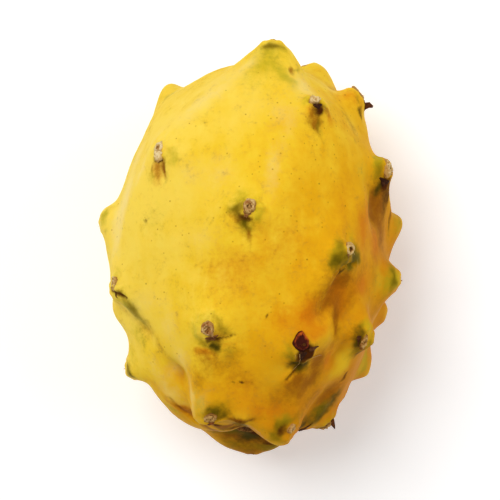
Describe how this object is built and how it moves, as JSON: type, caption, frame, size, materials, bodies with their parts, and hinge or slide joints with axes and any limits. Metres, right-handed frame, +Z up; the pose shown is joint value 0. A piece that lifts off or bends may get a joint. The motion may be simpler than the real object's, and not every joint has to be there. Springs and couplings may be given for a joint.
{
  "type": "yellow dragon fruit",
  "caption": "Egg-shaped fruit with pointed tubercles joined by low ridges, each tipped by a woody pad, lying on its side.",
  "frame": {"origin": "on the surface that the fruit lies on, under the middle of its bounding box", "axes": "+Z up from that surface, +Y along the fruit towards its flower end, +X to the right of that, seen from above"},
  "size_m": [0.081, 0.1106, 0.0753],
  "materials": {
    "skin": "waxy satin, golden yellow, greener round the tips and brown-orange in the hollows under them",
    "areole": "dry tan cork with a dark pit",
    "scale": "dried, dark brown to black",
    "scar": "dry woody scar tissue, grey-brown"
  },
  "bodies": {
    "root": {"fruit": "skin"}
  },
  "joints": []
}
